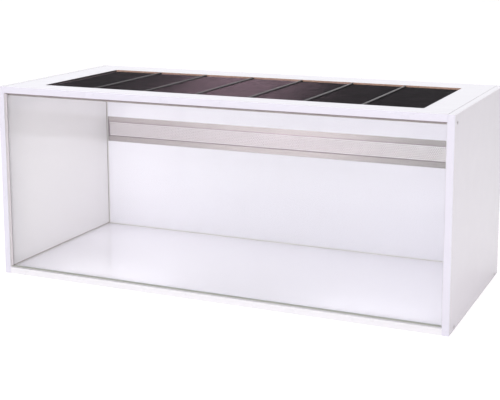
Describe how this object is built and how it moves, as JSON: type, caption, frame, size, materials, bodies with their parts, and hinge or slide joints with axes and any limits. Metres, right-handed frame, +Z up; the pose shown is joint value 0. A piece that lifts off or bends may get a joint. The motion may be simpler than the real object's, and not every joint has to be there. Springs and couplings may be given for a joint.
{
  "type": "rodent cage",
  "caption": "White board cabinet cage for small rodents, with a fixed glass front, a perforated vent strip in the rear wall and a lift-out wire lid in the top.",
  "frame": {"origin": "on the floor, under the middle of the cabinet's outer box", "axes": "+X along the cabinet to the right seen from the front, -Y out of the glass front, +Z up"},
  "size_m": [1.15, 0.5, 0.48],
  "materials": {
    "white_board": "white melamine on chipboard, satin",
    "edge_band": "white edge band, satin",
    "glass_channel": "dark brown channel, matt",
    "pane": "clear float glass with ground edges",
    "raw_lath": "raw wood, planed",
    "vent_rail": "mill-finish aluminium",
    "vent_sheet": "perforated aluminium, satin",
    "screw": "black steel",
    "dowel": "beech, unfinished",
    "lid_wire": "black plastic coat, satin"
  },
  "bodies": {
    "cabinet": {"left_side_panel": "white_board", "right_side_panel": "white_board", "top_board": "white_board", "base_board": "white_board", "rear_board_lower": "white_board", "rear_board_upper": "white_board", "edge_band_left": "edge_band", "edge_band_right": "edge_band", "edge_band_top": "edge_band", "edge_band_base": "edge_band", "glass_channel_floor": "glass_channel", "glass_channel_top": "glass_channel", "glass_channel_left": "glass_channel", "glass_channel_right": "glass_channel", "front_glass": "pane", "top_lath_front": "raw_lath", "top_lath_rear": "raw_lath", "vent_rail_lower": "vent_rail", "vent_rail_upper": "vent_rail", "vent_sheet": "vent_sheet", "screws_left": "screw", "screws_right": "screw", "dowels_left": "dowel", "dowels_right": "dowel"},
    "lid": {"lid_frame": "lid_wire", "lid_long_wires": "lid_wire", "lid_cross_rods": "lid_wire"}
  },
  "joints": [
    {"name": "lid_lift", "type": "slide", "parent": "cabinet", "child": "lid", "axis": [0, 0, 1], "range_m": [0, 0.15]}
  ]
}
